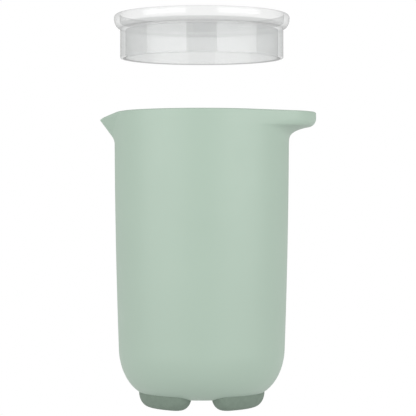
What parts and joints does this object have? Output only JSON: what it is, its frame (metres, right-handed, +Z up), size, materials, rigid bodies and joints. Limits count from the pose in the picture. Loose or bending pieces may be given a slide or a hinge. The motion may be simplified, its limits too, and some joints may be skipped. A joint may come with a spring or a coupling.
{
  "type": "lidded mixing jug",
  "caption": "Tall round mixing and pouring jug with a V spout, a flat thumb grip flush with the rim, soft half-ring feet and a clear push-in lid.",
  "frame": {"origin": "on the table, under the middle of the jug's outline from spout tip to grip tip; the round mouth's axis is at x = -3.95 mm", "axes": "+Z up along the mouth's axis, +X towards the grip, -X towards the spout, +Y to the rear"},
  "size_m": [0.1425, 0.1158, 0.258],
  "materials": {
    "jug_plastic": "satin",
    "foot_rubber": "matte",
    "clear_plastic": "clear polished"
  },
  "bodies": {
    "jug": {"jug_body": "jug_plastic", "foot_left": "foot_rubber", "foot_right": "foot_rubber"},
    "lid": {"lid": "clear_plastic"}
  },
  "joints": [
    {"name": "lid_lift", "type": "slide", "parent": "jug", "child": "lid", "axis": [0, 0, 1], "range_m": [-0.055, 0.03]}
  ]
}
